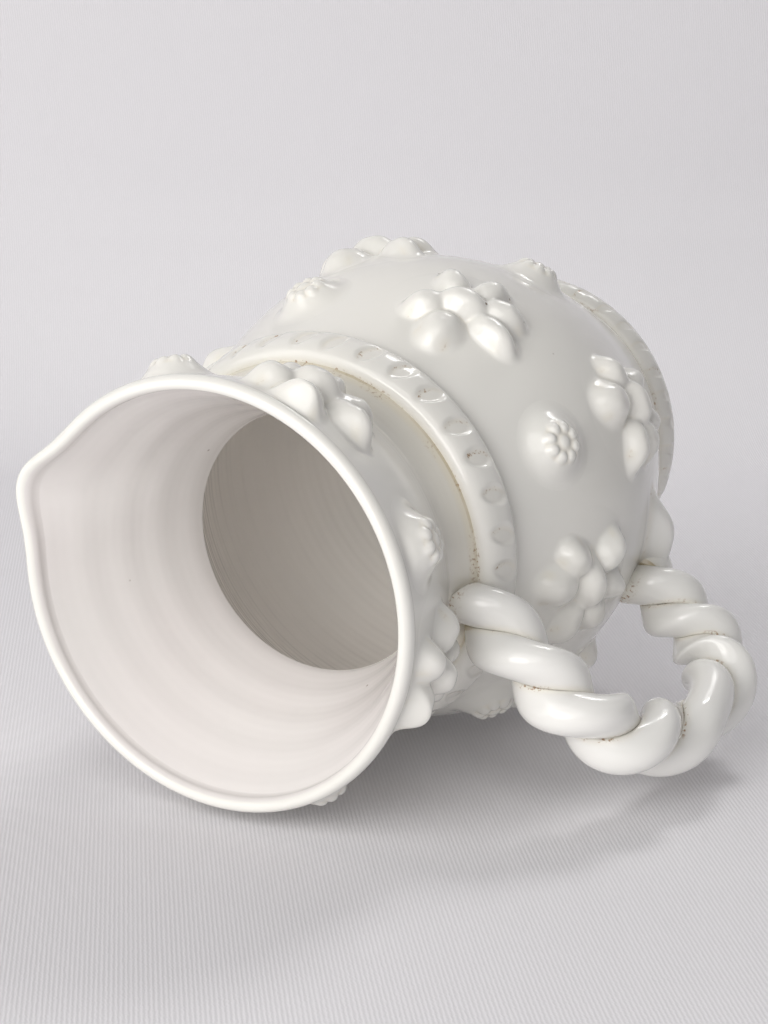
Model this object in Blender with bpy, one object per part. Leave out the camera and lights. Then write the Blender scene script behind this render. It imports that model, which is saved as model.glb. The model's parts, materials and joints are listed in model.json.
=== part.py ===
"""A white glazed pitcher with applied flowers and a twisted two-strand handle.

Metres, +Z up. The foot underside is centred on the origin, the spout points to +X and the
handle stands at -X. The thrown belly carries a neck collar, two rope bands, a handle twisted
from two clay strands, and applied flowers and buttons, each piece a closed solid of its own.
"""

import math

import bmesh
import bpy
from mathutils import Matrix, Vector
from mathutils.geometry import interpolate_bezier

# Driving sizes of the thrown body
HEIGHT = 0.220
BELLY_RADIUS = 0.0763
BELLY_HEIGHT = 0.094
FOOT_RADIUS = 0.0455
RIM_RADIUS = 0.0662
WAIST_RADIUS = 0.0548
THROAT_RADIUS = 0.042
WALL = 0.0054
FLOOR_THICKNESS = 0.006
COLLAR_RADIUS = 0.0585
NECK_LENGTH = 0.060
SPOUT_REACH = 0.007
SPOUT_WIDTH = math.radians(11.0)

# Driving sizes of the applied pieces
ROPE_WIDTH = 0.0160
ROPE_THICKNESS = 0.0052
ROPE_LAYS = 34
FOOT_ROPE_LAYS = 36
STRAND_RADIUS = 0.0077
STRAND_OFFSET = 0.0044
HANDLE_TURNS = -4.25
HANDLE_REACH = 0.1208
HANDLE_RISE = 0.0031
HANDLE_LOW = 0.0671
HANDLE_LEAN = 0.0091
HANDLE_SHIFT = 0.0136
HANDLE_SWING = 0.1340
HANDLE_ARCH = 0.0430
FLOWER_RADIUS = 0.0195
FLOWER_THICKNESS = 0.0070
ROW_CLEARANCE = 0.0064
ROW_SPACING = 0.0414
LIP_CLEARANCE = 0.0045
HANDLE_CLEARANCE = 0.0013
BUTTON_RADIUS = 0.0100
BUTTON_THICKNESS = 0.0058
SEAT_GAP = 0.0003

# Mesh fineness
TURN_STEPS = 48
LAY_STEPS = 4
BAND_STEPS = 7
HANDLE_STEPS = 64
STRAND_STEPS = 9
FLOWER_STEPS = 36
BUTTON_STEPS = 16

# Derived heights
JOINT_HEIGHT = HEIGHT - NECK_LENGTH
WAIST_HEIGHT = JOINT_HEIGHT + 0.26 * (HEIGHT - JOINT_HEIGHT)
LIP_HEIGHT = HEIGHT - 0.55 * WALL
SHOULDER_ROPE_HEIGHT = JOINT_HEIGHT - 0.30 * ROPE_WIDTH
FOOT_ROPE_HEIGHT = 0.55 * ROPE_WIDTH
UPPER_ROW = SHOULDER_ROPE_HEIGHT - 0.5 * ROPE_WIDTH - FLOWER_RADIUS - ROW_CLEARANCE
LOWER_ROW = UPPER_ROW - ROW_SPACING
LOWEST_ROW = UPPER_ROW - 1.41 * ROW_SPACING
HANDLE_TOP = JOINT_HEIGHT + HANDLE_RISE
NECK_BAND_LOW = HANDLE_TOP + STRAND_OFFSET + STRAND_RADIUS + HANDLE_CLEARANCE
NECK_BAND_HIGH = HEIGHT - LIP_CLEARANCE
NECK_ROW = 0.5 * (NECK_BAND_LOW + NECK_BAND_HIGH)
NECK_FLOWER_RADIUS = 0.5 * (NECK_BAND_HIGH - NECK_BAND_LOW)


def bezier_chain(anchors, steps):
    """Samples a chain of cubic spans; each anchor is (point, tangent)."""
    samples = []
    for (start, leave), (end, arrive) in zip(anchors[:-1], anchors[1:]):
        span = interpolate_bezier(start, start + leave / 3, end - arrive / 3, end, steps + 1)
        samples += span[:-1]
    samples.append(anchors[-1][0])
    return samples


def belly_outline():
    """Outer outline of the belly as (radius, height), foot edge up to the neck joint."""
    low = BELLY_HEIGHT
    high = JOINT_HEIGHT - BELLY_HEIGHT
    wide = BELLY_RADIUS - FOOT_RADIUS
    foot_edge = (Vector((FOOT_RADIUS, 0.0)), Vector((0.30 * wide, 0.42 * low)))
    widest = (Vector((BELLY_RADIUS, BELLY_HEIGHT)), Vector((0.0, 1.05 * low)))
    widest_up = (widest[0], Vector((0.0, 1.25 * high)))
    joint = (Vector((COLLAR_RADIUS, JOINT_HEIGHT)), Vector((-0.10 * wide, 0.75 * high)))
    lower = bezier_chain([foot_edge, widest], 9)
    upper = bezier_chain([widest_up, joint], 8)
    return lower + upper[1:]


def neck_outline():
    """Outer outline of the neck as (radius, height), joint up to the lip."""
    cove = WAIST_HEIGHT - JOINT_HEIGHT
    flare = LIP_HEIGHT - WAIST_HEIGHT
    joint = (Vector((COLLAR_RADIUS, JOINT_HEIGHT + SEAT_GAP)), Vector((-0.12 * cove, 0.9 * cove)))
    waist = (Vector((WAIST_RADIUS, WAIST_HEIGHT)), Vector((0.0, 0.8 * cove)))
    waist_up = (waist[0], Vector((0.32 * flare, 0.9 * flare)))
    lip = (Vector((RIM_RADIUS, LIP_HEIGHT)), Vector((0.20 * flare, 0.9 * flare)))
    lower = bezier_chain([joint, waist], 4)
    upper = bezier_chain([waist_up, lip], 6)
    return lower + upper[1:]


BELLY_OUTLINE = belly_outline()
NECK_OUTLINE = neck_outline()
OUTLINE = BELLY_OUTLINE + NECK_OUTLINE


def outline_radius(height):
    """Outer radius of belly and neck at a height."""
    for low, high in zip(OUTLINE[:-1], OUTLINE[1:]):
        if low.y <= height <= high.y:
            share = (height - low.y) / max(high.y - low.y, SEAT_GAP / 100)
            return low.x + share * (high.x - low.x)
    return OUTLINE[0].x if height < 0 else OUTLINE[-1].x


def spout_push(height, turn):
    """How far the pulled spout moves the neck wall outward."""
    rise = max(0.0, (height - WAIST_HEIGHT) / (HEIGHT - WAIST_HEIGHT))
    bearing = math.atan2(math.sin(turn), math.cos(turn))
    return SPOUT_REACH * rise * rise * math.exp(-((bearing / SPOUT_WIDTH) ** 2))


def on_wall(height, turn, lift):
    """Point at a height and bearing, lifted off the outer wall along its normal."""
    span = WALL / 4
    slope = (outline_radius(height + span) - outline_radius(height - span)) / (2 * span)
    outward = Vector((1.0, -slope)).normalized()
    radius = outline_radius(height) + spout_push(height, turn) + lift * outward.x
    return Vector((radius * math.cos(turn), radius * math.sin(turn), height + lift * outward.y))


def glaze(name, colour, roughness):
    material = bpy.data.materials.new(name)
    material.use_nodes = True
    shader = material.node_tree.nodes["Principled BSDF"]
    shader.inputs["Base Color"].default_value = (*colour, 1.0)
    shader.inputs["Roughness"].default_value = roughness
    shader.inputs["Metallic"].default_value = 0.0
    return material


def add_piece(name, mesh, colour, roughness=0.12):
    piece = bpy.data.objects.new(name, mesh)
    bpy.context.scene.collection.objects.link(piece)
    mesh.materials.append(glaze(name + "_glaze", colour, roughness))
    mesh.shade_smooth()
    mesh.set_sharp_from_angle(angle=math.radians(50))
    piece.parent = pitcher
    return piece


def finish_mesh(name, work):
    bmesh.ops.remove_doubles(work, verts=work.verts, dist=1e-6)
    bmesh.ops.recalc_face_normals(work, faces=work.faces)
    mesh = bpy.data.meshes.new(name)
    work.to_mesh(mesh)
    work.free()
    return mesh


def turned(name, outline, push=None):
    """Turns a closed (radius, height) outline about the axis, then pulls the spout."""
    work = bmesh.new()
    ring = [work.verts.new((p.x, 0.0, p.y)) for p in outline]
    edges = [work.edges.new(pair) for pair in zip(ring[:-1], ring[1:])]
    if min(outline[0].x, outline[-1].x) > 0:
        edges.append(work.edges.new((ring[-1], ring[0])))
    bmesh.ops.spin(work, geom=ring + edges, cent=(0, 0, 0), axis=(0, 0, 1),
                   angle=math.tau, steps=TURN_STEPS, use_merge=True)
    bmesh.ops.remove_doubles(work, verts=work.verts, dist=1e-6)
    if push:
        for vert in work.verts:
            turn = math.atan2(vert.co.y, vert.co.x)
            radial = Vector((vert.co.x, vert.co.y, 0.0)).normalized()
            vert.co += radial * push(vert.co.z, turn)
    return finish_mesh(name, work)


def grid_solid(name, rows, closed_rows, hub=None):
    """Skins rows of points that are closed loops, ring-shaped or with filled ends.

    Faces beside the hub column are split from it, so two twisted halves stay apart.
    """
    work = bmesh.new()
    verts = [[work.verts.new(p) for p in row] for row in rows]
    pairs = list(zip(verts[:-1], verts[1:]))
    if closed_rows:
        pairs.append((verts[-1], verts[0]))
    for low, high in pairs:
        for i in range(len(low)):
            j = (i + 1) % len(low)
            if hub == i:
                work.faces.new((low[i], low[j], high[j]))
                work.faces.new((low[i], high[j], high[i]))
            elif hub == j:
                work.faces.new((low[j], high[i], low[i]))
                work.faces.new((low[j], high[j], high[i]))
            else:
                work.faces.new((low[i], low[j], high[j], high[i]))
    if not closed_rows:
        work.faces.new(verts[0])
        work.faces.new(verts[-1])
    return finish_mesh(name, work)


def belly_solid():
    """The thrown belly: solid floor, open at the neck joint."""
    floor_edge = 0.62 * FOOT_RADIUS
    floor = (Vector((floor_edge, FLOOR_THICKNESS)), Vector((0.6 * floor_edge, 0.0)))
    widest = (Vector((BELLY_RADIUS - WALL, BELLY_HEIGHT)), Vector((0.0, 1.15 * BELLY_HEIGHT)))
    rise = JOINT_HEIGHT - BELLY_HEIGHT
    widest_up = (widest[0], Vector((0.0, 1.5 * rise)))
    throat = (Vector((THROAT_RADIUS, JOINT_HEIGHT)), Vector((-0.55 * THROAT_RADIUS, 0.5 * rise)))
    inner = bezier_chain([floor, widest], 6)
    inner += bezier_chain([widest_up, throat], 6)[1:]
    outline = [Vector((0.0, 0.0))] + BELLY_OUTLINE + inner[::-1] + [Vector((0.0, FLOOR_THICKNESS))]
    return turned("belly", outline)


def neck_solid():
    """The neck collar: waisted outside, funnel inside, rolled lip and pulled spout."""
    run = LIP_HEIGHT - JOINT_HEIGHT
    throat = (Vector((THROAT_RADIUS, JOINT_HEIGHT + SEAT_GAP)), Vector((0.04 * run, 0.5 * run)))
    mouth = (Vector((RIM_RADIUS - 0.8 * WALL, LIP_HEIGHT)), Vector((0.45 * run, 0.8 * run)))
    inner = bezier_chain([throat, mouth], 7)
    crown = [Vector((RIM_RADIUS - 0.12 * WALL, LIP_HEIGHT + 0.38 * WALL)),
             Vector((RIM_RADIUS - 0.40 * WALL, HEIGHT)),
             Vector((RIM_RADIUS - 0.68 * WALL, LIP_HEIGHT + 0.38 * WALL))]
    return turned("neck", NECK_OUTLINE + crown + inner[::-1], spout_push)


def rope_band(name, centre, width, thickness, lays):
    """A clay band pressed with slanting dents, seated on the outer wall."""
    rows = []
    count = lays * LAY_STEPS
    for i in range(count):
        turn = math.tau * i / count
        row = []
        for k in range(BAND_STEPS):
            share = -1 + 2 * k / (BAND_STEPS - 1)
            arch = math.sqrt(max(0.0, 1 - share * share))
            lay = 0.5 - 0.5 * math.cos(lays * turn - 1.2 * share)
            lift = SEAT_GAP + thickness * (0.12 + arch * (0.62 + 0.26 * lay))
            row.append(on_wall(centre + 0.5 * width * share, turn, lift))
        row.append(on_wall(centre + 0.5 * width, turn, SEAT_GAP))
        row.append(on_wall(centre, turn, SEAT_GAP))
        row.append(on_wall(centre - 0.5 * width, turn, SEAT_GAP))
        rows.append(row)
    return grid_solid(name, rows, True)


def handle_path():
    """Centre line of the handle: out from the shoulder, round, and back to the belly."""
    drop = HANDLE_TOP - HANDLE_LOW
    top_root = Vector((-COLLAR_RADIUS + 0.6 * WALL, -HANDLE_SHIFT, HANDLE_TOP))
    outer = Vector((-HANDLE_REACH, HANDLE_LEAN, HANDLE_LOW + 0.485 * drop))
    low_root = Vector((-outline_radius(HANDLE_LOW) + 0.6 * WALL, 0.0, HANDLE_LOW))
    anchors = [(top_root, Vector((-HANDLE_SWING, HANDLE_SHIFT + HANDLE_LEAN, HANDLE_ARCH))),
               (outer, Vector((0.0, 0.0, -1.58 * drop))),
               (low_root, Vector((0.88 * drop, 0.0, -0.49 * drop)))]
    return bezier_chain(anchors, HANDLE_STEPS // 2)


def strand_solid(name, start):
    """One strand of the twist: a round coil flattened where it lies on its partner."""
    path = handle_path()
    lengths = [0.0]
    for a, b in zip(path[:-1], path[1:]):
        lengths.append(lengths[-1] + (b - a).length)
    half_flat = math.acos(-(STRAND_OFFSET - SEAT_GAP / 2) / STRAND_RADIUS)
    rows = []
    for i, point in enumerate(path):
        along = (path[min(i + 1, len(path) - 1)] - path[max(i - 1, 0)]).normalized()
        side = along.cross(Vector((0.0, 1.0, 0.0))).normalized()
        across = along.cross(side)
        twist = start + math.tau * HANDLE_TURNS * lengths[i] / lengths[-1]
        angles = [half_flat * (-1 + 2 * k / (STRAND_STEPS - 1)) for k in range(STRAND_STEPS)]
        section = [(STRAND_OFFSET + STRAND_RADIUS * math.cos(angle), STRAND_RADIUS * math.sin(angle))
                   for angle in angles]
        section.append((SEAT_GAP / 2, 0.0))
        row = []
        for a, b in section:
            row.append(point + side * (a * math.cos(twist) - b * math.sin(twist))
                       + across * (a * math.sin(twist) + b * math.cos(twist)))
        rows.append(row)
    return grid_solid(name, rows, False, STRAND_STEPS)


def seat_cutter():
    """Solid of revolution one gap outside belly, shoulder rope and neck."""
    low = SHOULDER_ROPE_HEIGHT - 0.5 * ROPE_WIDTH
    high = SHOULDER_ROPE_HEIGHT + 0.5 * ROPE_WIDTH
    skin = [on_wall(p.y, math.pi, SEAT_GAP) for p in OUTLINE[1:] if p.y < low]
    for k in range(2 * BAND_STEPS - 1):
        share = -1 + k / (BAND_STEPS - 1)
        arch = math.sqrt(max(0.0, 1 - share * share))
        lift = 3 * SEAT_GAP + ROPE_THICKNESS * (0.12 + 0.88 * arch)
        skin.append(on_wall(SHOULDER_ROPE_HEIGHT + 0.5 * ROPE_WIDTH * share, math.pi, lift))
    skin += [on_wall(p.y, math.pi, SEAT_GAP) for p in OUTLINE if p.y > high]
    cutter_outline = [Vector((0.0, skin[0].z))]
    cutter_outline += [Vector((-p.x, p.z)) for p in skin]
    cutter_outline.append(Vector((0.0, skin[-1].z)))
    cutter = bpy.data.objects.new("seat_cutter", turned("seat_cutter", cutter_outline))
    bpy.context.scene.collection.objects.link(cutter)
    cutter.hide_render = True
    cutter.display_type = "WIRE"
    return cutter


def seat_on(piece, cutter):
    cut = piece.modifiers.new("seat", "BOOLEAN")
    cut.operation = "DIFFERENCE"
    cut.solver = "EXACT"
    cut.object = cutter


def pressed_solid(name, centre, turn, outline, lift, rings, seat_rings, steps):
    """A pressed ornament that follows the wall: outline(angle) is its edge, lift its height."""
    work = bmesh.new()
    start = on_wall(centre, turn, 0.0)
    above = on_wall(centre + WALL / 4, turn, 0.0)
    climb = (above - start).normalized().z
    radius = math.hypot(start.x, start.y)

    def place(share, angle, height):
        reach = share * outline(angle)
        rise = centre + reach * math.sin(angle) * climb
        return on_wall(rise, turn + reach * math.cos(angle) / radius, height)

    top = work.verts.new(place(0.0, 0.0, SEAT_GAP + lift(0.0, 0.0)))
    bottom = work.verts.new(place(0.0, 0.0, SEAT_GAP))
    loops = []
    for ring in range(1, rings + 1):
        share = ring / rings
        loops.append([work.verts.new(place(share, math.tau * i / steps,
                                           SEAT_GAP + lift(share, math.tau * i / steps)))
                      for i in range(steps)])
    for ring in range(seat_rings, 0, -1):
        share = ring / seat_rings
        loops.append([work.verts.new(place(share, math.tau * i / steps, SEAT_GAP))
                      for i in range(steps)])
    for i in range(steps):
        j = (i + 1) % steps
        work.faces.new((top, loops[0][i], loops[0][j]))
        work.faces.new((bottom, loops[-1][j], loops[-1][i]))
        for low, high in zip(loops[:-1], loops[1:]):
            work.faces.new((low[i], high[i], high[j], low[j]))
    return finish_mesh(name, work)


def flower_solid(name, centre, turn, spin, size):
    """Six rounded petals round a raised centre."""
    def outline(angle):
        petal = abs(math.cos(3 * (angle - spin)))
        return size * (0.66 + 0.34 * petal)

    def lift(share, angle):
        petal = abs(math.cos(3 * (angle - spin)))
        pillow = math.sqrt(max(0.0, 1 - (1.7 * share - 0.95) ** 2))
        bud = math.exp(-((share / 0.22) ** 2))
        return FLOWER_THICKNESS * (0.14 + 0.80 * pillow * (0.55 + 0.45 * petal) + 0.30 * bud)

    return pressed_solid(name, centre, turn, outline, lift, 5, 3, FLOWER_STEPS)


def button_solid(name, centre, turn):
    """A low round button with a ring of pellets."""
    def outline(angle):
        return BUTTON_RADIUS * (0.95 + 0.05 * math.cos(8 * angle))

    def lift(share, angle):
        dome = 1 - share * share
        pellet = math.exp(-(((share - 0.55) / 0.22) ** 2)) * (0.5 + 0.5 * math.cos(8 * angle))
        return BUTTON_THICKNESS * (0.12 + 0.62 * dome + 0.30 * pellet)

    return pressed_solid(name, centre, turn, outline, lift, 3, 2, BUTTON_STEPS)


for old in list(bpy.data.objects):
    bpy.data.objects.remove(old, do_unlink=True)

pitcher = bpy.data.objects.new("pitcher", None)
bpy.context.scene.collection.objects.link(pitcher)

WHITE = (0.80, 0.79, 0.76)
WARM = (0.79, 0.78, 0.74)

add_piece("belly", belly_solid(), WHITE)
add_piece("neck", neck_solid(), WHITE)
add_piece("shoulder_rope", rope_band("shoulder_rope", SHOULDER_ROPE_HEIGHT, ROPE_WIDTH,
                                     ROPE_THICKNESS, ROPE_LAYS), WARM)
add_piece("foot_rope", rope_band("foot_rope", FOOT_ROPE_HEIGHT, 0.8 * ROPE_WIDTH,
                                 ROPE_THICKNESS, FOOT_ROPE_LAYS), WARM)

seat = seat_cutter()
for strand, start in (("handle_strand_a", 0.0), ("handle_strand_b", math.pi)):
    seat_on(add_piece(strand, strand_solid(strand, start), WHITE), seat)

# Bearings of the applied pieces, as they were set by hand round the pot
UPPER_FLOWERS = (-91.5, 0.0, 99.0, -170.0)
UPPER_BUTTONS = (-49.4, 50.0, 148.3, -132.4)
LOWER_BUTTONS = (-89.2, 0.0, 99.0)
NECK_FLOWERS = (-89.0, 0.0, 90.0, -175.0)
NECK_BUTTONS = (-138.0, -49.0, 46.0, 137.0)

for i, bearing in enumerate(UPPER_FLOWERS, 1):
    name = f"upper_flower_{i}"
    spin = math.radians(27.0 + 31.0 * i)
    add_piece(name, flower_solid(name, UPPER_ROW, math.radians(bearing), spin, FLOWER_RADIUS), WARM)
for i, bearing in enumerate(UPPER_BUTTONS, 1):
    name = f"upper_button_{i}"
    add_piece(name, button_solid(name, UPPER_ROW + 0.3 * BUTTON_RADIUS, math.radians(bearing)), WARM)
    name = f"lower_flower_{i}"
    spin = math.radians(11.0 + 23.0 * i)
    add_piece(name, flower_solid(name, LOWER_ROW, math.radians(bearing), spin, FLOWER_RADIUS), WARM)
for i, bearing in enumerate(LOWER_BUTTONS, 1):
    name = f"lower_button_{i}"
    add_piece(name, button_solid(name, LOWEST_ROW, math.radians(bearing)), WARM)
for i, bearing in enumerate(NECK_FLOWERS, 1):
    name = f"neck_flower_{i}"
    spin = math.radians(40.0 + 19.0 * i)
    add_piece(name, flower_solid(name, NECK_ROW, math.radians(bearing), spin, NECK_FLOWER_RADIUS), WARM)
for i, bearing in enumerate(NECK_BUTTONS, 1):
    name = f"neck_button_{i}"
    add_piece(name, button_solid(name, NECK_ROW + 0.36 * NECK_FLOWER_RADIUS, math.radians(bearing)), WARM)
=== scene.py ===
"""Looks of the white glazed pitcher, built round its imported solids.

Every surface is worked out as whole arrays on a grid of two parameters. Metres, +Z along the pot's
axis, spout at +X, handle at -X. The pot lies on its side in the picture, so the floor stands on its
+Y side and the camera looks down past the lip.
"""

import json
import math

import bmesh
import bpy
import numpy as np
from mathutils import Matrix, Vector

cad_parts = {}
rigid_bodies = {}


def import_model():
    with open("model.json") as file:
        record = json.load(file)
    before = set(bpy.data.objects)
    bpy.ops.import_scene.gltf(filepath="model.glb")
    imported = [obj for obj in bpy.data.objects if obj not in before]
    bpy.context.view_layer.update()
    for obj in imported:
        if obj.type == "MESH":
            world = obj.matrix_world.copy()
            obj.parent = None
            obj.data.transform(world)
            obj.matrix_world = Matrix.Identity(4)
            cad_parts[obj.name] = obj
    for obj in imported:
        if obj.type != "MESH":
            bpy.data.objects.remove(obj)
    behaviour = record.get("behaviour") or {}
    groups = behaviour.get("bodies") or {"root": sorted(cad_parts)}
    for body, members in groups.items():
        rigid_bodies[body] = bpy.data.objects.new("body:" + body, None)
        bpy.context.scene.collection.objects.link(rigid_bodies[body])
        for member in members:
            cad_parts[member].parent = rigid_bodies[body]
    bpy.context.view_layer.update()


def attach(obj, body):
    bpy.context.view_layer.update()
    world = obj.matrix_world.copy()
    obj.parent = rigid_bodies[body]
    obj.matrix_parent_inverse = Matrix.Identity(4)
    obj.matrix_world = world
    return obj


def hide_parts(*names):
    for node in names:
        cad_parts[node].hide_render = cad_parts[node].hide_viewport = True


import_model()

MM = 0.001

# Sizes of the thrown body
HEIGHT = 0.220
NECK_LENGTH = 0.060
JOINT_HEIGHT = HEIGHT - NECK_LENGTH
BELLY_RADIUS = 0.0763
BELLY_HEIGHT = 0.094
FOOT_RADIUS = 0.0455
RIM_RADIUS = 0.0662
WAIST_RADIUS = 0.0548
THROAT_RADIUS = 0.042
COLLAR_RADIUS = 0.0585
WALL = 0.0054
FLOOR_THICKNESS = 0.006
SPOUT_REACH = 0.007
SPOUT_WIDTH = math.radians(11.0)
WAIST_HEIGHT = JOINT_HEIGHT + 0.26 * NECK_LENGTH
LIP_HEIGHT = HEIGHT - 0.55 * WALL

# Sizes and places of the applied pieces
ROPE_WIDTH = 0.0160
ROPE_THICKNESS = 0.0052
ROPE_LAYS = 34
FOOT_LAYS = 36
SHOULDER_ROPE_HEIGHT = JOINT_HEIGHT - 0.30 * ROPE_WIDTH
FOOT_ROPE_HEIGHT = 0.55 * ROPE_WIDTH
FOOT_ROPE_WIDTH = 0.8 * ROPE_WIDTH
SHOULDER_SLANT = math.radians(74)
FOOT_SLANT = math.radians(60)
SHOULDER_DENT = (5.4 * MM, 2.8 * MM, 0.9 * MM)
FOOT_DENT = (3.6 * MM, 1.8 * MM, 0.5 * MM)
STRAND_RADIUS = 0.0077
STRAND_OFFSET = 0.0044
HANDLE_TURNS = -4.25
BEND_SLACK = 0.105
BEND_PLACE = 0.69
BEND_SPAN = 0.15
HANDLE_REACH = 0.1208
HANDLE_TOP = JOINT_HEIGHT + 0.0031
HANDLE_LOW = 0.0671
HANDLE_LEAN = 0.0091
HANDLE_SHIFT = 0.0136
TAIL_HEIGHT = 0.066
TAIL_BEARING = -171.0
TAIL_PATCH = 27 * MM
FLOWER_RADIUS = 0.0195
FLOWER_PATCH = 1.45 * FLOWER_RADIUS
BUTTON_RADIUS = 0.0100
BUTTON_PATCH = 1.6 * BUTTON_RADIUS
UPPER_ROW = 0.1213
LOWER_ROW = 0.0799
LOWEST_ROW = 0.0629
NECK_ROW = 0.1960
NECK_BUTTON_ROW = 0.2030
PETAL_ANGLES = np.array((5, 58, 133, 177, 227, 285))
PETAL_BREADTHS = (0.34, 0.42, 0.30, 0.34, 0.29, 0.31)
PETAL_LENGTHS = (0.38, 0.45, 0.48, 0.42, 0.42, 0.40)


def bezier(start, leave, end, arrive, count):
    """Cubic span from start to end; leave and arrive are its end tangents, a third of each to the handles."""
    start, leave, end, arrive = (np.asarray(v, float) for v in (start, leave, end, arrive))
    t = np.linspace(0.0, 1.0, count)[:, None]
    first = start + leave / 3
    second = end - arrive / 3
    s = 1 - t
    return s**3 * start + 3 * s * s * t * first + 3 * s * t * t * second + t**3 * end


def smooth_step(low, high, value):
    """Rises from 0 at low to 1 at high as 3t^2 - 2t^3."""
    t = np.clip((value - low) / (high - low), 0.0, 1.0)
    return t * t * (3 - 2 * t)


def outer_outline():
    """Outer wall as (radius, height): foot edge to widest, widest to joint, joint to waist, waist to lip."""
    rise = JOINT_HEIGHT - BELLY_HEIGHT
    wide = BELLY_RADIUS - FOOT_RADIUS
    cove = WAIST_HEIGHT - JOINT_HEIGHT
    flare = LIP_HEIGHT - WAIST_HEIGHT
    widest = (BELLY_RADIUS, BELLY_HEIGHT)
    joint = (COLLAR_RADIUS, JOINT_HEIGHT)
    waist = (WAIST_RADIUS, WAIST_HEIGHT)
    lip = (RIM_RADIUS, LIP_HEIGHT)
    spans = [
        bezier((FOOT_RADIUS, 0), (0.30 * wide, 0.42 * BELLY_HEIGHT), widest, (0, 1.05 * BELLY_HEIGHT), 240),
        bezier(widest, (0, 1.25 * rise), joint, (-0.10 * wide, 0.75 * rise), 200),
        bezier(joint, (-0.12 * cove, 0.9 * cove), waist, (0, 0.8 * cove), 80),
        bezier(waist, (0.32 * flare, 0.9 * flare), lip, (0.20 * flare, 0.9 * flare), 160),
    ]
    return np.concatenate([spans[0]] + [span[1:] for span in spans[1:]])


OUTLINE = outer_outline()
WALL_HEIGHTS = np.linspace(0.0, LIP_HEIGHT, 1400)
WALL_RADII = np.interp(WALL_HEIGHTS, OUTLINE[:, 1], OUTLINE[:, 0])
RAW_SLOPES = np.pad(np.gradient(WALL_RADII, WALL_HEIGHTS), 8, "edge")
WALL_SLOPES = np.convolve(RAW_SLOPES, np.full(17, 1 / 17), "valid")


def spout_push(height, turn):
    """Outward pull of the spout: square of the rise above the waist times a bell curve of the bearing."""
    rise = np.clip((height - WAIST_HEIGHT) / (HEIGHT - WAIST_HEIGHT), 0.0, None)
    bearing = np.arctan2(np.sin(turn), np.cos(turn))
    return SPOUT_REACH * rise**2 * np.exp(-((bearing / SPOUT_WIDTH) ** 2))


def hand_made(height, turn):
    """Scale of the radius that leaves the thrown pot slightly out of round: two slow waves of the bearing."""
    return 1 + 0.0022 * np.sin(2 * turn + 0.6) + 0.0012 * np.sin(3 * turn + 14 * height)


def on_wall(height, turn, lift):
    """Points at height and bearing, lifted off the outer wall along its normal (1, -slope)."""
    radius = np.interp(height, WALL_HEIGHTS, WALL_RADII) * hand_made(height, turn)
    slope = np.interp(height, WALL_HEIGHTS, WALL_SLOPES)
    size = np.sqrt(1 + slope * slope)
    reach = radius + spout_push(height, turn) + lift / size
    return np.stack([reach * np.cos(turn), reach * np.sin(turn), height - lift * slope / size], -1)


def skin(name, grid, wrap=False, poles=(False, False), **marks):
    """Mesh of a (rows, columns, 3) grid whose columns close round.

    wrap joins the last row to the first; poles close the first or last row on its mean point.
    marks are (rows, columns) arrays kept as point attributes.
    """
    rows, columns = grid.shape[:2]
    points = grid.reshape(-1, 3)
    index = np.arange(rows * columns).reshape(rows, columns)
    low = index if wrap else index[:-1]
    high = np.roll(index, -1, 0) if wrap else index[1:]
    quads = np.stack([low, np.roll(low, -1, 1), np.roll(high, -1, 1), high], -1).reshape(-1, 4)
    faces = quads.tolist()
    values = {key: np.broadcast_to(mark, (rows, columns)).reshape(-1) for key, mark in marks.items()}
    for closed, ring, turn in ((poles[0], index[0], 1), (poles[1], index[-1], -1)):
        if closed:
            tip = len(points)
            points = np.concatenate([points, points[ring].mean(0)[None]])
            fan = np.stack([np.full(columns, tip), np.roll(ring, -turn), ring], -1)
            faces += fan.tolist()
            values = {key: np.append(v, v[ring].mean()) for key, v in values.items()}
    mesh = bpy.data.meshes.new(name)
    mesh.from_pydata(points.tolist(), [], faces)
    for key, value in values.items():
        mesh.attributes.new(key, "FLOAT", "POINT").data.foreach_set("value", value.astype(np.float32))
    mesh.shade_smooth()
    return mesh


def outward(mesh):
    """Turns the faces so that the closed shell's signed volume is positive."""
    count = len(mesh.vertices)
    points = np.empty(count * 3)
    mesh.vertices.foreach_get("co", points)
    points = points.reshape(-1, 3)
    mesh.calc_loop_triangles()
    corners = np.empty(len(mesh.loop_triangles) * 3, np.int32)
    mesh.loop_triangles.foreach_get("vertices", corners)
    a, b, c = (points[corners.reshape(-1, 3)[:, k]] for k in range(3))
    if np.einsum("ij,ij->", a, np.cross(b, c)) < 0:
        mesh.flip_normals()
    return mesh


def turned_grid(outline, columns):
    """Turns an outline of (radius, height) rows about the axis: rows x bearings."""
    turn = np.linspace(0, math.tau, columns, endpoint=False)[None]
    radius, height = outline[:, :1], outline[:, 1:]
    return radius, height + 0 * turn, turn


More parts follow.
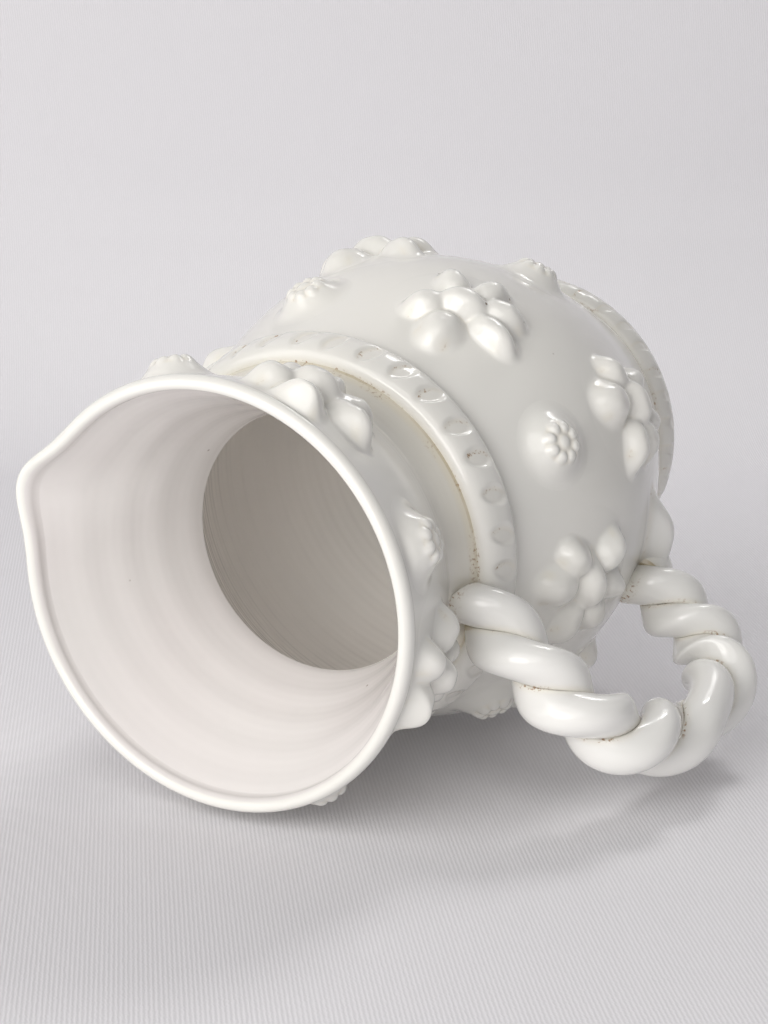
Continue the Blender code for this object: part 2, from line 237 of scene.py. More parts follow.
def belly_mesh():
    """Thrown belly: outer wall, joint face, inner wall with throwing rings, and floor, turned about the axis.

    The inner wall carries ridges sin(2 pi height / pitch + bearing), a spiral left by the fingers.
    """
    rise = JOINT_HEIGHT - BELLY_HEIGHT
    floor_edge = 0.62 * FOOT_RADIUS
    wide = BELLY_RADIUS - WALL
    outer = OUTLINE[OUTLINE[:, 1] <= JOINT_HEIGHT][::4]
    corner = (floor_edge, FLOOR_THICKNESS)
    widest = (wide, BELLY_HEIGHT)
    throat = (THROAT_RADIUS, JOINT_HEIGHT)
    low = bezier(corner, (0.6 * floor_edge, 0), widest, (0, 1.15 * BELLY_HEIGHT), 130)
    high = bezier(widest, (0, 1.5 * rise), throat, (-0.55 * THROAT_RADIUS, 0.5 * rise), 130)
    base = np.stack([np.linspace(0.1, 0.985, 8) * FOOT_RADIUS, np.zeros(8)], 1)
    ground = np.stack([np.linspace(0.96, 0.06, 10) * floor_edge, np.full(10, FLOOR_THICKNESS)], 1)
    inner = np.concatenate([low, high[1:]])[::-1]
    outline = np.concatenate([base, outer[1:], inner, ground])
    radius, height, turn = turned_grid(outline, 256)
    inside = np.zeros(len(outline))
    inside[len(base) + len(outer) - 1:] = 1.0
    inside = inside[:, None]
    fine = np.sin(math.tau * height / (3.4 * MM) + turn)
    ridge = fine + 1.6 * np.sin(math.tau * height / (8.3 * MM) + turn + 1.0)
    fade = smooth_step(0.2 * floor_edge, floor_edge, radius)
    radius = radius + inside * fade * 0.05 * MM * ridge
    radius = radius * hand_made(height, turn)
    grid = np.stack([radius * np.cos(turn), radius * np.sin(turn), height], -1)
    above_foot = outline[:, 1:] - FOOT_ROPE_HEIGHT
    crevice = (1 - inside) * smooth_step(12 * MM, 5 * MM, above_foot)
    return skin("belly_surface", grid, poles=(True, True), crevice=crevice, inside=inside)


def neck_mesh():
    """Neck collar: coved outside, rolled lip, funnel inside with soft throwing steps, pulled spout.

    The steps are waves sin(2 pi height / pitch + bearing) of the radius. The lip dips and rises twice a turn.
    """
    run = LIP_HEIGHT - JOINT_HEIGHT
    outer = OUTLINE[OUTLINE[:, 1] >= JOINT_HEIGHT][::3]
    arc = np.linspace(-0.15, math.pi + 0.1, 26)[:, None]
    bead_radius = RIM_RADIUS - 0.40 * WALL + 0.42 * WALL * np.cos(arc)
    bead = np.concatenate([bead_radius, LIP_HEIGHT + 0.55 * WALL * np.sin(arc)], 1)
    throat = (THROAT_RADIUS, JOINT_HEIGHT)
    mouth = (RIM_RADIUS - 0.85 * WALL, LIP_HEIGHT - 0.4 * WALL)
    inner = bezier(throat, (0.04 * run, 0.5 * run), mouth, (0.45 * run, 0.8 * run), 150)[::-1]
    seat = np.linspace(THROAT_RADIUS, COLLAR_RADIUS, 6)[1:-1, None]
    seat = np.concatenate([seat, np.full_like(seat, JOINT_HEIGHT)], 1)
    outline = np.concatenate([outer[:-1], bead, inner, seat])
    radius, height, turn = turned_grid(outline, 320)
    inside = np.zeros(len(outline))
    inside[len(outer) + len(bead) - 8:] = 1.0
    inside = inside[:, None]
    depth = smooth_step(0.0, 6 * MM, LIP_HEIGHT - height) * smooth_step(0.0, 2 * MM, height - JOINT_HEIGHT)
    fine = 0.08 * np.sin(math.tau * height / (3.1 * MM) + turn)
    ridge = np.sin(math.tau * height / (13 * MM) + turn) + fine
    radius = radius + inside * depth * 0.09 * MM * ridge
    lines = np.sin(math.tau * height / (2.3 * MM) + turn)
    radius = radius + (1 - inside) * 0.03 * MM * lines * smooth_step(14 * MM, 0.0, height - WAIST_HEIGHT)
    radius = radius * hand_made(height, turn) + spout_push(height, turn)
    height = height + smooth_step(LIP_HEIGHT - 4 * MM, HEIGHT, height) * 0.4 * MM * np.sin(2 * turn + 1.9)
    grid = np.stack([radius * np.cos(turn), radius * np.sin(turn), height], -1)
    above_joint = outline[:, 1:] - JOINT_HEIGHT
    seam = smooth_step(10 * MM, 3.5 * MM, above_joint)
    seam = seam * (0.8 + 0.2 * smooth_step(5 * MM, 3.8 * MM, above_joint))
    crevice = (1 - inside) * np.maximum(seam, 0.32 * smooth_step(24 * MM, 8 * MM, above_joint))
    return skin("neck_surface", grid, wrap=True, crevice=crevice, inside=inside)


def rope_mesh(name, centre, width, lays, slant, dent, bias):
    """Clay band: a flattened arch over the wall with slanting oval thumb dents.

    share runs from -1 to 1 across the band. Each dent is an oval of dent's two half sizes, turned by
    slant, as deep as dent's third value, with a flat bottom and a soft edge; the dents stand one pitch
    apart. The underside lies a little inside the wall.
    """
    turn = np.linspace(0, math.tau, lays * 28, endpoint=False)[None]
    share = np.sin(np.linspace(-0.5, 0.5, 41) * math.pi)[:, None]
    pitch = math.tau / lays
    order = np.round(turn / pitch)
    radius = float(np.interp(centre, WALL_HEIGHTS, WALL_RADII)) + ROPE_THICKNESS
    offset = (turn - order * pitch) * radius - 0.5 * MM * np.sin(order * 2.4)
    climb = 0.5 * width * (share - bias) - 0.3 * MM * np.sin(order * 1.7)
    first = (offset * math.cos(slant) + climb * math.sin(slant)) / dent[0]
    second = (climb * math.cos(slant) - offset * math.sin(slant)) / dent[1]
    oval = np.hypot(first, second)
    hollow = smooth_step(1.3, 0.65, oval + 0.2 * np.clip(second, -1.5, 1.5))
    arch = np.clip(1 - np.abs(share) ** 2.6, 0, 1) ** 0.5
    lift = ROPE_THICKNESS * (arch * 1.05 - 0.06) - dent[2] * hollow * arch
    top = on_wall(centre + 0.5 * width * share + 0 * turn, turn + 0 * share, lift)
    under = np.linspace(1.0, -1.0, 9)[1:-1, None] + 0 * turn
    bottom = on_wall(centre + 0.5 * width * under, turn + 0 * under, np.full(under.shape, -1.2 * MM))
    rim = smooth_step(0.5, 0.9, oval) * smooth_step(1.25, 0.95, oval) * smooth_step(-0.2, 0.6, -second)
    foot = 1 - smooth_step(0.0, 0.45, arch)
    crevice = np.concatenate([np.clip(0.25 * hollow + 0.6 * rim + 0.75 * foot, 0, 0.8), 0 * under])
    return skin(name, np.concatenate([top, bottom]), wrap=True, crevice=crevice, inside=0.0)


def handle_path(count):
    """Centre line of the handle: two cubic spans, shoulder to outermost point and on to the belly."""
    drop = HANDLE_TOP - HANDLE_LOW
    low_radius = np.interp(HANDLE_LOW, WALL_HEIGHTS, WALL_RADII)
    top = (-COLLAR_RADIUS + 0.6 * WALL, -HANDLE_SHIFT, HANDLE_TOP)
    outer = (-HANDLE_REACH, HANDLE_LEAN, HANDLE_LOW + 0.485 * drop)
    low = (-low_radius + 0.6 * WALL, 0.0, HANDLE_LOW)
    first = bezier(top, (-0.134, HANDLE_SHIFT + HANDLE_LEAN, 0.043), outer, (0, 0, -1.58 * drop), count)
    second = bezier(outer, (0, 0, -1.58 * drop), low, (0.88 * drop, 0, -0.49 * drop), count)
    return np.concatenate([first, second[1:]])


def strand_mesh(name, start):
    """One clay strand: a round section set off the handle's centre line and turned as it goes along.

    The twist runs evenly, less a bell curve about the outer bend, where the strands lie looser. Each
    section is the part of a circle on its own side of the centre plane, so two strands meet in a crease.
    Points that would lie deeper than 2 mm inside the pot's wall are brought back to that depth.
    """
    path = handle_path(240)
    along = np.gradient(path, axis=0)
    along /= np.linalg.norm(along, axis=1, keepdims=True)
    side = np.cross(along, (0.0, 1.0, 0.0))
    side /= np.linalg.norm(side, axis=1, keepdims=True)
    across = np.cross(along, side)
    length = np.concatenate([[0], np.cumsum(np.linalg.norm(np.diff(path, axis=0), axis=1))])
    share = length / length[-1]
    lay = share - BEND_SLACK * np.exp(-(((share - BEND_PLACE) / BEND_SPAN) ** 2))
    twist = (start + math.tau * HANDLE_TURNS * lay)[:, None]
    swell = (1 + 0.035 * np.sin(23 * share + start) + 0.02 * np.sin(41 * share))[:, None]
    half = math.acos(-STRAND_OFFSET / STRAND_RADIUS)
    angle = np.linspace(-half, half, 44)[None]
    a = STRAND_OFFSET + STRAND_RADIUS * swell * np.cos(angle)
    b = STRAND_RADIUS * swell * np.sin(angle)
    a = np.maximum(a, 0.00005)
    u = (a * np.cos(twist) - b * np.sin(twist))[..., None]
    v = (a * np.sin(twist) + b * np.cos(twist))[..., None]
    grid = path[:, None] + side[:, None] * u + across[:, None] * v
    radius = np.hypot(grid[..., 0], grid[..., 1])
    limit = np.interp(grid[..., 2], WALL_HEIGHTS, WALL_RADII) - 2 * MM
    scale = np.where(radius < limit, limit / radius, 1.0)
    grid[..., :2] *= scale[..., None]
    crease = smooth_step(0.80 * half, half, np.abs(angle))
    root = np.exp(-((radius - limit - 2 * MM) / (5 * MM)) ** 2)
    crevice = np.clip(0.8 * crease + root * (0.75 + 0.45 * crease), 0, 1.4)
    return skin(name, grid, poles=(True, True), crevice=crevice, inside=0.0)


def lump(x, y, centre_x, centre_y, angle, long, short, height, edge=3.2):
    """Oval mound height x exp(-(1.2 q)^edge), where q is 1 on an oval turned by angle.

    The oval's half sizes are long and short. A larger edge gives a flatter top and steeper sides.
    """
    c, s = math.cos(angle), math.sin(angle)
    u = ((x - centre_x) * c + (y - centre_y) * s) / long
    v = ((y - centre_y) * c - (x - centre_x) * s) / short
    return height * np.exp(-((1.2 * np.hypot(u, v)) ** edge))


def pressed_mesh(name, centre, bearing, reach, relief, rings, columns):
    """Ornament on the wall: a polar patch lifted along the wall's normal by relief(x, y), closed underneath.

    x runs round the pot and y up the wall, both in metres from the ornament's centre.
    """
    turn = math.radians(bearing)
    radius = float(np.interp(centre, WALL_HEIGHTS, WALL_RADII))
    climb = 1 / math.hypot(1.0, float(np.interp(centre, WALL_HEIGHTS, WALL_SLOPES)))
    share = np.linspace(0.01, 1.0, rings)[:, None] ** 0.85
    angle = np.linspace(0, math.tau, columns, endpoint=False)[None]
    x, y = reach * share * np.cos(angle), reach * share * np.sin(angle)
    height, hollow = relief(x, y)
    height = height * smooth_step(1.0, 0.84, share)
    level = np.minimum(centre + y * climb, LIP_HEIGHT - 1.5 * MM)
    height = height * smooth_step(LIP_HEIGHT - 1.5 * MM, LIP_HEIGHT - 6 * MM, centre + y * climb)
    top = on_wall(level, turn + x / radius, height - 0.05 * MM)
    x, level = 0.98 * x[::-6], level[::-6]
    bottom = on_wall(level, turn + x / radius, np.full(x.shape, -1.4 * MM))
    crevice = np.concatenate([hollow, np.zeros(x.shape)])
    return skin(name, np.concatenate([top, bottom]), poles=(True, True), crevice=crevice, inside=0.0)


def flower_relief(angles, heart, tall, seed):
    """Petal mounds set round a long bud, melted together by the power mean of their heights.

    Each petal is a broad mound with a narrower one at its tip. A thin apron carries the glaze out to
    the wall.
    """
    chance = np.random.default_rng(seed)
    size = FLOWER_RADIUS
    mounds = []
    for degrees, broad, long in zip(angles, PETAL_BREADTHS, PETAL_LENGTHS):
        angle = math.radians(degrees)
        far = size * (0.17 + long)
        lean = angle + chance.uniform(-0.3, 0.3)
        tip = (1.30 * far, 0.75 * long, 0.80 * broad, 0.80)
        for reach, length, width, rise in ((far, long, broad, 1.0), tip):
            x, y = heart[0] + reach * math.cos(angle), heart[1] + reach * math.sin(angle)
            height = tall * rise * chance.uniform(0.9, 1.12)
            mounds.append((x, y, lean, size * length, size * width, height))
    mounds.append((heart[0], heart[1], math.radians(angles[2]) + 0.5, 0.52 * size, 0.34 * size, 1.42 * tall))

    def relief(x, y):
        heights = np.stack([lump(x, y, *mound) for mound in mounds])
        apron = lump(x, y, heart[0], heart[1], 0, size, size, 1.2 * MM, 2.6)
        melted = ((heights**4).sum(0) + apron**4) ** 0.25
        tallest = np.sort(heights, 0)
        between = smooth_step(0.45, 1.0, tallest[-2] / np.maximum(tallest[-1], 0.3 * MM))
        low = smooth_step(0.75 * tall, 0.35 * tall, melted) * smooth_step(0.2 * MM, 1.0 * MM, melted)
        return melted, 0.7 * np.clip(between * low, 0, 1)

    return relief


def button_relief(tall, seed):
    """Soft dome on a wide apron, with one pellet at its crown and eight round it."""
    chance = np.random.default_rng(seed)
    spin = chance.uniform(0, 1)
    size = BUTTON_RADIUS

    def relief(x, y):
        dome = lump(x, y, 0, 0, 0, 1.10 * size, 1.06 * size, tall, 3.4)
        pellets = [lump(x, y, 0, 0, 0, 2.1 * MM, 2.1 * MM, 0.8 * MM)]
        for k in range(8):
            angle = spin + k * math.tau / 8
            spot = (4.9 * MM * math.cos(angle), 4.9 * MM * math.sin(angle))
            pellets.append(lump(x, y, *spot, angle, 2.1 * MM, 2.0 * MM, 1.0 * MM))
        grain = (np.stack(pellets) ** 4).sum(0) ** 0.25
        hollow = smooth_step(7.0 * MM, 6.0 * MM, np.hypot(x, y)) * smooth_step(0.6 * MM, 0.1 * MM, grain)
        return dome + grain, 0.7 * hollow

    return relief


def joined(first, second):
    """One mesh of two shells; their point attributes are kept."""
    work = bmesh.new()
    work.from_mesh(first)
    work.from_mesh(second)
    work.to_mesh(first)
    work.free()
    return first


def tail_mesh():
    """Smeared end of a strand: a long oval mound that runs from the lower root round the belly."""
    def relief(x, y):
        height = lump(x, y, 0, 0, math.radians(14), 17 * MM, 7.5 * MM, 8.5 * MM)
        edge = smooth_step(2.5 * MM, 0.3 * MM, height) * smooth_step(0.05 * MM, 0.3 * MM, height)
        return height, 0.6 * edge

    return pressed_mesh("handle_tail_surface", TAIL_HEIGHT, TAIL_BEARING, TAIL_PATCH, relief, 60, 120)


def add_socket(group, name, kind, way, value=None):
    """Named input or output of a node group, with its starting value."""
    socket = group.interface.new_socket(name=name, in_out=way, socket_type=kind)
    if value is not None:
        socket.default_value = value
    return socket


def glaze_group():
    """Tin glaze: white drifting between cool and warm, cream and rust specks in hollows, rare dark pits. The
    inside surfaces take a second white that carries painted light and shade.
    """
    group = bpy.data.node_groups.new("Tin glaze", "ShaderNodeTree")
    add_socket(group, "White", "NodeSocketColor", "INPUT", (0.80, 0.79, 0.77, 1))
    add_socket(group, "Inside", "NodeSocketColor", "INPUT", (0.84, 0.81, 0.79, 1))
    add_socket(group, "Cream", "NodeSocketFloat", "INPUT", 0.5)
    add_socket(group, "Rust", "NodeSocketFloat", "INPUT", 0.5)
    add_socket(group, "Colour", "NodeSocketColor", "OUTPUT")
    add_socket(group, "Roughness", "NodeSocketFloat", "OUTPUT")
    add_socket(group, "Relief", "NodeSocketFloat", "OUTPUT")
    nodes, links = group.nodes, group.links
    source = nodes.new("NodeGroupInput")
    result = nodes.new("NodeGroupOutput")
    place = nodes.new("ShaderNodeTexCoord")
    hollow = nodes.new("ShaderNodeAttribute")
    hollow.attribute_name = "crevice"
    within = nodes.new("ShaderNodeAttribute")
    within.attribute_name = "inside"

    def noise(scale, detail):
        node = nodes.new("ShaderNodeTexNoise")
        node.inputs["Scale"].default_value = scale
        node.inputs["Detail"].default_value = detail
        links.new(place.outputs["Object"], node.inputs["Vector"])
        return node.outputs["Fac"]

    def spread(value, low, high, start=0.0, end=1.0):
        node = nodes.new("ShaderNodeMapRange")
        node.interpolation_type = "SMOOTHSTEP"
        for key, number in (("From Min", low), ("From Max", high), ("To Min", start), ("To Max", end)):
            node.inputs[key].default_value = number
        links.new(value, node.inputs["Value"])
        return node.outputs["Result"]

    def times(first, second):
        node = nodes.new("ShaderNodeMath")
        node.operation = "MULTIPLY"
        node.use_clamp = True
        links.new(first, node.inputs[0])
        links.new(second, node.inputs[1])
        return node.outputs[0]

    def mix(factor, first, second):
        node = nodes.new("ShaderNodeMix")
        node.data_type = "RGBA"
        links.new(factor, node.inputs[0])
        for value, socket in ((first, node.inputs[6]), (second, node.inputs[7])):
            if isinstance(value, tuple):
                socket.default_value = value
            else:
                links.new(value, socket)
        return node.outputs[2]

    # Painted light and shade: inside surfaces take the second white, lighter than the outer glaze in the
    # belly and darker in the funnel
    colour = mix(within.outputs["Fac"], source.outputs["White"], source.outputs["Inside"])
    colour = mix(spread(noise(14, 2), 0.35, 0.7, 0.0, 0.35), colour, (0.765, 0.765, 0.735, 1))
    colour = mix(times(hollow.outputs["Fac"], source.outputs["Cream"]), colour, (0.75, 0.705, 0.60, 1))
    stain = times(spread(hollow.outputs["Fac"], 0.80, 1.0, 0.0, 0.9), spread(noise(45, 3), 0.36, 0.62))
    colour = mix(times(stain, source.outputs["Rust"]), colour, (0.42, 0.33, 0.17, 1))
    speck = times(spread(noise(900, 3), 0.53, 0.66), spread(noise(70, 2), 0.46, 0.60))
    rust = times(times(spread(hollow.outputs["Fac"], 0.3, 0.75), speck), source.outputs["Rust"])
    colour = mix(rust, colour, (0.30, 0.16, 0.06, 1))
    cells = nodes.new("ShaderNodeTexVoronoi")
    cells.inputs["Scale"].default_value = 110
    cells.inputs["Randomness"].default_value = 1.0
    links.new(place.outputs["Object"], cells.inputs["Vector"])
    pit = times(spread(cells.outputs["Distance"], 0.075, 0.03), spread(noise(37, 1), 0.62, 0.66))
    colour = mix(pit, colour, (0.22, 0.17, 0.13, 1))
    links.new(colour, result.inputs["Colour"])
    links.new(spread(noise(30, 3), 0.3, 0.75, 0.075, 0.15), result.inputs["Roughness"])
    links.new(noise(55, 2), result.inputs["Relief"])
    return group


TIN_GLAZE = glaze_group()


def glaze(name, white, inner, cream, rust, ripple):
    """Glossy glaze: the tin glaze group feeds colour, roughness and a faint unevenness of the surface. inner
    is the white of the inside surfaces: painted light in the belly, painted shade in the funnel.
    """
    material = bpy.data.materials.new(name)
    material.use_nodes = True
    nodes, links = material.node_tree.nodes, material.node_tree.links
    shader = nodes["Principled BSDF"]
    tin = nodes.new("ShaderNodeGroup")
    tin.node_tree = TIN_GLAZE
    tin.inputs["White"].default_value = (*white, 1)
    tin.inputs["Inside"].default_value = (*inner, 1)
    tin.inputs["Cream"].default_value = cream
    tin.inputs["Rust"].default_value = rust
    bump = nodes.new("ShaderNodeBump")
    bump.inputs["Strength"].default_value = ripple
    bump.inputs["Distance"].default_value = 0.0006
    links.new(tin.outputs["Relief"], bump.inputs["Height"])
    links.new(tin.outputs["Colour"], shader.inputs["Base Color"])
    links.new(tin.outputs["Roughness"], shader.inputs["Roughness"])
    links.new(bump.outputs["Normal"], shader.inputs["Normal"])
    shader.inputs["IOR"].default_value = 1.52
    return material


WHITE = (0.77, 0.755, 0.715)
# Painted light: the handle takes a whiter copy of the body's white, standing in for light on its lobes
HANDLE_PAINTED_LIGHT_WHITE = (0.80, 0.79, 0.765)
# Painted light: the belly's inside is far whiter than the outer glaze, standing in for light inside the pot
BELLY_INSIDE_PAINTED_LIGHT = (0.93, 0.895, 0.855)
# Painted shade: the funnel's inside is a darker, pinker white than the outer glaze
FUNNEL_INSIDE_PAINTED_SHADE = (0.745, 0.71, 0.695)
BODY_GLAZE = glaze("body white glaze", WHITE, BELLY_INSIDE_PAINTED_LIGHT, 0.45, 0.15, 0.12)
NECK_GLAZE = glaze("neck white glaze", WHITE, FUNNEL_INSIDE_PAINTED_SHADE, 1.5, 0.6, 0.12)
ROPE_GLAZE = glaze("rope band glaze", WHITE, WHITE, 0.45, 0.9, 0.10)
HANDLE_GLAZE = glaze("handle glaze", HANDLE_PAINTED_LIGHT_WHITE, HANDLE_PAINTED_LIGHT_WHITE, 0.55, 0.9, 0.10)
ORNAMENT_GLAZE = glaze("ornament glaze", WHITE, WHITE, 0.55, 0.35, 0.10)


def add_piece(node, mesh, material):
    """Puts a surface on the pot's body in place of its solid, with its glaze and glaze slot."""
    piece = bpy.data.objects.new(node + "_look", outward(mesh))
    bpy.context.scene.collection.objects.link(piece)
    mesh.materials.append(material)
    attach(piece, "root")
    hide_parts(node)
    return piece


shoulder_rope = rope_mesh("shoulder_rope_surface", SHOULDER_ROPE_HEIGHT, ROPE_WIDTH, ROPE_LAYS,
                          SHOULDER_SLANT, SHOULDER_DENT, 0.0)
foot_rope = rope_mesh("foot_rope_surface", FOOT_ROPE_HEIGHT, FOOT_ROPE_WIDTH, FOOT_LAYS,
                      FOOT_SLANT, FOOT_DENT, 0.6)
strand_a = strand_mesh("handle_strand_a_surface", 0.0)
strand_b = joined(outward(strand_mesh("handle_strand_b_surface", math.pi)), outward(tail_mesh()))
add_piece("belly", belly_mesh(), BODY_GLAZE)
add_piece("neck", neck_mesh(), NECK_GLAZE)
add_piece("shoulder_rope", shoulder_rope, ROPE_GLAZE)
add_piece("foot_rope", foot_rope, ROPE_GLAZE)
add_piece("handle_strand_a", strand_a, HANDLE_GLAZE)
add_piece("handle_strand_b", strand_b, HANDLE_GLAZE)

# Rows of flowers: height, relief, place of the bud, bearings round the pot, turn of each flower's petals
FLOWER_ROWS = (
    ("upper_flower", UPPER_ROW, 5.6 * MM, (1 * MM, -4 * MM), (-91.5, 0.0, 99.0, -170.0), (35, 12, 47, 28)),
    ("lower_flower", LOWER_ROW, 5.6 * MM, (0, 1 * MM), (-49.4, 50.0, 148.3, -132.4), (22, 41, 7, 10)),
    ("neck_flower", NECK_ROW, 6.9 * MM, (0, 2 * MM), (-89.0, 0.0, 90.0, -175.0), (38, 20, 35, 50)),
)
# Rows of buttons: height, relief, bearings round the pot
BUTTON_ROWS = (
    ("upper_button", UPPER_ROW + 3 * MM, 5.2 * MM, (-49.4, 50.0, 148.3, -132.4)),
    ("lower_button", LOWEST_ROW, 5.2 * MM, (-89.2, 0.0, 99.0)),
    ("neck_button", NECK_BUTTON_ROW, 6.2 * MM, (-138.0, -49.0, 46.0, 137.0)),
)

for row, (label, height, tall, heart, bearings, spins) in enumerate(FLOWER_ROWS):
    for i, (bearing, spin) in enumerate(zip(bearings, spins), 1):
        chance = np.random.default_rng(70 + 10 * row + i)
        angles = spin + PETAL_ANGLES + chance.uniform(-7, 7, 6)
        relief = flower_relief(angles, heart, tall, 10 * row + i)
        node = f"{label}_{i}"
        flower = pressed_mesh(node + "_surface", height, bearing, FLOWER_PATCH, relief, 76, 150)
        add_piece(node, flower, ORNAMENT_GLAZE)
for row, (label, height, tall, bearings) in enumerate(BUTTON_ROWS):
    for i, bearing in enumerate(bearings, 1):
        node = f"{label}_{i}"
        relief = button_relief(tall, 50 + 10 * row + i)
        button = pressed_mesh(node + "_surface", height, bearing, BUTTON_PATCH, relief, 58, 108)
        add_piece(node, button, ORNAMENT_GLAZE)

# Camera, as found from the circles of rim, throat, shoulder and foot in the picture
CAMERA_BEARING = math.radians(-125.0)
CAMERA_TILT = 0.603784
CAMERA_ROLL = -2.073008
CAMERA_DISTANCE = 3.54958 * HEIGHT
CAMERA_SHIFT = (-0.0180065 * HEIGHT, -0.0207417 * HEIGHT)
CAMERA_LENS = 2400.0 * 36.0 / 1024.0
FLOOR_PITCH = math.radians(12.5)

level_reach = math.sin(CAMERA_TILT)
toward = Vector((level_reach * math.cos(CAMERA_BEARING), level_reach * math.sin(CAMERA_BEARING),
                 math.cos(CAMERA_TILT)))
level = Vector((0, 0, 1)).cross(toward).normalized()
upright = toward.cross(level)
right = level * math.cos(CAMERA_ROLL) + upright * math.sin(CAMERA_ROLL)
up = upright * math.cos(CAMERA_ROLL) - level * math.sin(CAMERA_ROLL)
middle = Vector((0, 0, 0.5 * HEIGHT))

lens = bpy.data.cameras.new("picture camera")
lens.sensor_width = 36.0
lens.lens = CAMERA_LENS
lens.clip_start = 0.01
camera = bpy.data.objects.new("picture camera", lens)
bpy.context.scene.collection.objects.link(camera)
eye = middle + toward * CAMERA_DISTANCE + right * CAMERA_SHIFT[0] + up * CAMERA_SHIFT[1]
camera.matrix_world = Matrix.Translation(eye) @ Matrix((right, up, toward)).transposed().to_4x4()
bpy.context.scene.camera = camera

# Floor and backdrop: level with the picture, under the lowest point of the lying pot
floor_up = (up * math.cos(FLOOR_PITCH) + toward * math.sin(FLOOR_PITCH)).normalized()
floor_back = -(toward - floor_up * toward.dot(floor_up)).normalized()
floor_side = floor_back.cross(floor_up)


def lowest_level():
    """Smallest height of any point of the pot over the floor direction."""
    levels = []
    for piece in bpy.data.objects:
        if piece.type == "MESH" and piece.name.endswith("_look"):
            points = np.empty(len(piece.data.vertices) * 3)
            piece.data.vertices.foreach_get("co", points)
            levels.append((points.reshape(-1, 3) @ np.array(floor_up)).min())
    return min(levels)


def backdrop_mesh(level):
    """Floor that sweeps up into a wall: a quarter round between two flats, carried sideways."""
    turn = np.linspace(0, math.pi / 2, 24)
    bend = 0.16
    flat = 0.42
    along = np.concatenate([[-1.6, 0.0], flat + bend * np.sin(turn), [flat + bend]])
    rise = np.concatenate([[0.0, 0.0], bend * (1 - np.cos(turn)), [1.8]])
    centre = np.array(middle - floor_up * middle.dot(floor_up))
    line = centre + along[:, None] * np.array(floor_back) + (level + rise)[:, None] * np.array(floor_up)
    half_width = 1.8
    wide = np.array(floor_side) * half_width
    points = np.concatenate([line - wide, line + wide])
    count = len(line)
    index = np.arange(count - 1)
    faces = np.stack([index, index + count, index + count + 1, index + 1], -1)
    mesh = bpy.data.meshes.new("backdrop")
    mesh.from_pydata(points.tolist(), [], faces.tolist())
    mesh.shade_smooth()
    mesh.update()
    if Vector(mesh.polygons[0].normal).dot(floor_up) < 0:
        mesh.flip_normals()
    run = np.concatenate([[0], np.cumsum(np.linalg.norm(np.diff(line, axis=0), axis=1))])
    one_edge = np.stack([np.zeros(count), run], 1)
    other_edge = np.stack([np.full(count, 2 * half_width), run], 1)
    flat_place = np.concatenate([one_edge, other_edge])
    corners = np.empty(len(mesh.loops), np.int32)
    mesh.loops.foreach_get("vertex_index", corners)
    mesh.uv_layers.new(name="cloth").data.foreach_set("uv", flat_place[corners].astype(np.float32).ravel())
    return mesh


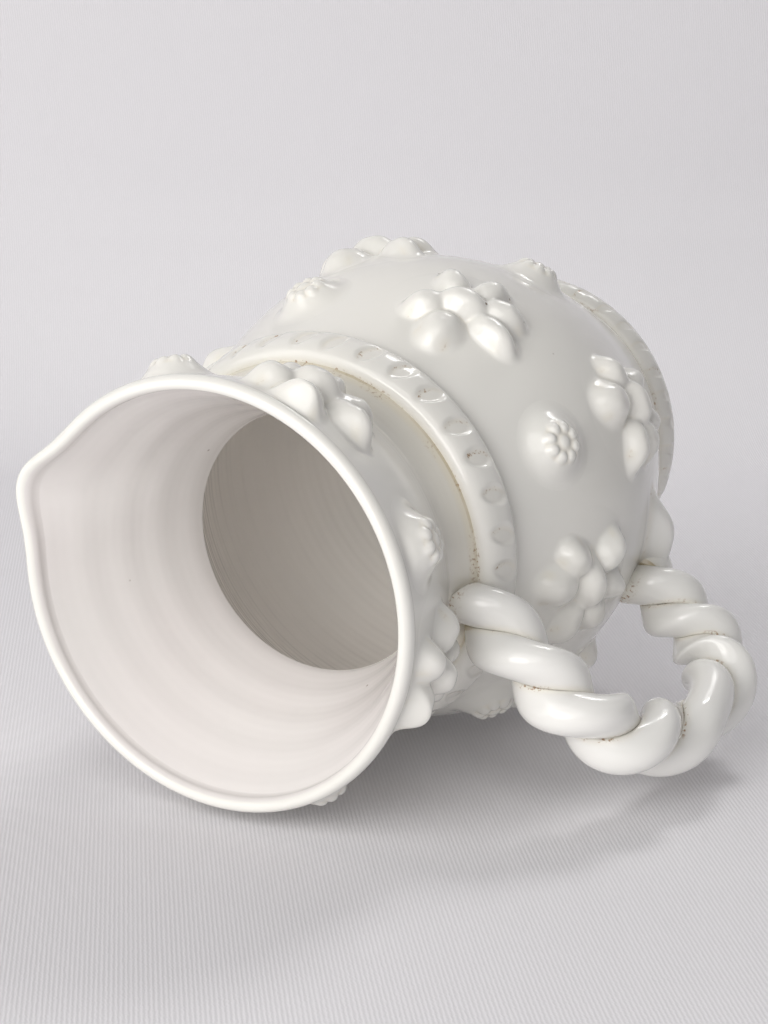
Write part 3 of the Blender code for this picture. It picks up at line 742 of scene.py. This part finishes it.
def backdrop_material():
    """Pale ribbed cloth seen from its front only; from behind it lets the view through."""
    material = bpy.data.materials.new("pale cloth")
    material.use_nodes = True
    nodes, links = material.node_tree.nodes, material.node_tree.links
    shader = nodes["Principled BSDF"]
    place = nodes.new("ShaderNodeUVMap")
    place.uv_map = "cloth"
    lie = nodes.new("ShaderNodeMapping")
    lie.inputs["Rotation"].default_value = (0, 0, math.radians(-6))
    links.new(place.outputs["UV"], lie.inputs["Vector"])
    rib = nodes.new("ShaderNodeTexWave")
    rib.inputs["Scale"].default_value = 255
    rib.inputs["Distortion"].default_value = 2.2
    rib.inputs["Detail"].default_value = 2.0
    rib.inputs["Detail Scale"].default_value = 3.0
    links.new(lie.outputs["Vector"], rib.inputs["Vector"])
    # Painted light and shade of soft folds: broad noise patches move the cloth's colour between its two tones
    painted_fold_shade = nodes.new("ShaderNodeTexNoise")
    painted_fold_shade.inputs["Scale"].default_value = 9
    painted_fold_shade.inputs["Detail"].default_value = 4
    links.new(place.outputs["UV"], painted_fold_shade.inputs["Vector"])
    shade = nodes.new("ShaderNodeMix")
    shade.data_type = "RGBA"
    shade.inputs[6].default_value = (0.718, 0.708, 0.731, 1)
    shade.inputs[7].default_value = (0.784, 0.772, 0.797, 1)
    faint = nodes.new("ShaderNodeMath")
    faint.operation = "MULTIPLY"
    faint.inputs[1].default_value = 0.3
    links.new(painted_fold_shade.outputs["Fac"], faint.inputs[0])
    blend = nodes.new("ShaderNodeMath")
    blend.operation = "MULTIPLY_ADD"
    blend.inputs[1].default_value = 0.72
    links.new(rib.outputs["Fac"], blend.inputs[0])
    links.new(faint.outputs[0], blend.inputs[2])
    links.new(blend.outputs[0], shade.inputs[0])
    links.new(shade.outputs[2], shader.inputs["Base Color"])
    weave = nodes.new("ShaderNodeBump")
    weave.inputs["Strength"].default_value = 0.25
    weave.inputs["Distance"].default_value = 0.0002
    links.new(rib.outputs["Fac"], weave.inputs["Height"])
    links.new(weave.outputs["Normal"], shader.inputs["Normal"])
    shader.inputs["Roughness"].default_value = 0.95
    shader.inputs["Specular IOR Level"].default_value = 0.1
    clear = nodes.new("ShaderNodeBsdfTransparent")
    facing = nodes.new("ShaderNodeNewGeometry")
    mix = nodes.new("ShaderNodeMixShader")
    links.new(facing.outputs["Backfacing"], mix.inputs[0])
    links.new(shader.outputs["BSDF"], mix.inputs[1])
    links.new(clear.outputs["BSDF"], mix.inputs[2])
    links.new(mix.outputs["Shader"], nodes["Material Output"].inputs["Surface"])
    return material


backdrop = bpy.data.objects.new("backdrop", backdrop_mesh(lowest_level()))
backdrop.data.materials.append(backdrop_material())
bpy.context.scene.collection.objects.link(backdrop)
backdrop.visible_shadow = False


def add_lamp(name, side, height, near, size, power, colour):
    """Round soft lamp placed in the picture's own directions and aimed at the pot."""
    data = bpy.data.lights.new(name, "AREA")
    data.shape = "DISK"
    data.size = size
    data.energy = power
    data.color = colour
    lamp = bpy.data.objects.new(name, data)
    spot = middle + right * side + floor_up * height + toward * near
    aim = (middle - spot).to_track_quat("-Z", "Y").to_matrix().to_4x4()
    lamp.matrix_world = Matrix.Translation(spot) @ aim
    bpy.context.scene.collection.objects.link(lamp)
    return lamp


# Lamps: steps to the right, up and towards the camera from the pot's middle, width, power, colour
add_lamp("window lamp", -1.00, 0.35, 0.70, 1.20, 5.9, (1.0, 0.985, 0.955))
add_lamp("soft box", -0.40, 0.55, 1.50, 1.90, 15.8, (1.0, 0.985, 0.965))
add_lamp("front lamp", -0.46, 0.00, 1.02, 0.70, 4.1, (1.0, 0.985, 0.96))
add_lamp("back lamp", 0.35, 1.00, -0.65, 0.32, 3.2, (1.0, 0.99, 0.975))
add_lamp("cloth glow", 0.05, -0.75, 0.35, 1.00, 1.0, (1.0, 0.985, 0.97))

world = bpy.data.worlds.new("studio")
bpy.context.scene.world = world
world.use_nodes = True
sky = world.node_tree.nodes["Background"]
sky.inputs["Color"].default_value = (0.80, 0.80, 0.82, 1)
sky.inputs["Strength"].default_value = 0.19

bpy.context.scene.view_settings.view_transform = "Standard"
